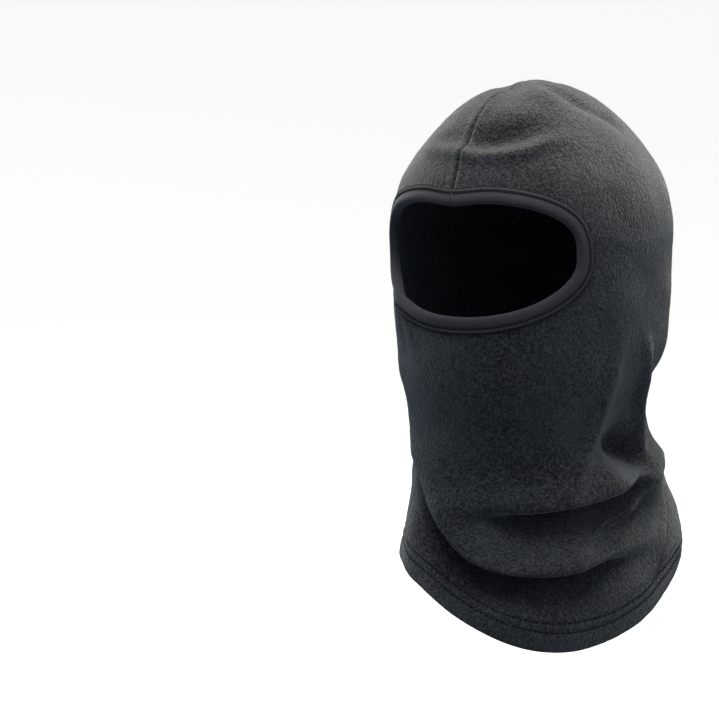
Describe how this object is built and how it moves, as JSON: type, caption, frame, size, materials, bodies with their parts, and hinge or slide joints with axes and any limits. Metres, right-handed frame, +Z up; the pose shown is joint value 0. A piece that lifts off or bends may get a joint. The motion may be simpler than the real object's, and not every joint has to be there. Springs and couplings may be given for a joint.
{
  "type": "balaclava",
  "caption": "Fleece balaclava with a bound face opening, a crown and back seam, a slouched neck and a twin-needle hem.",
  "frame": {"origin": "where the top of the wearer's head meets the inside of the crown, on the seam", "axes": "+Z up through the crown, the wearer faces -Y, +X towards the wearer's left ear"},
  "size_m": [0.1757, 0.2154, 0.3562],
  "materials": {
    "fleece": "brushed charcoal polyester fleece with a short curled pile",
    "jersey_binding": "smooth dark grey knitted binding",
    "thread": "matt spun polyester sewing thread"
  },
  "bodies": {
    "root": {"hood_panel": "fleece", "face_binding": "jersey_binding", "seam_needle_thread": "thread", "seam_overlock_thread": "thread", "binding_needle_thread_inner": "thread", "binding_needle_thread_outer": "thread", "binding_looper_thread": "thread", "hem_needle_thread_lower": "thread", "hem_needle_thread_upper": "thread", "hem_looper_thread": "thread"}
  },
  "joints": []
}
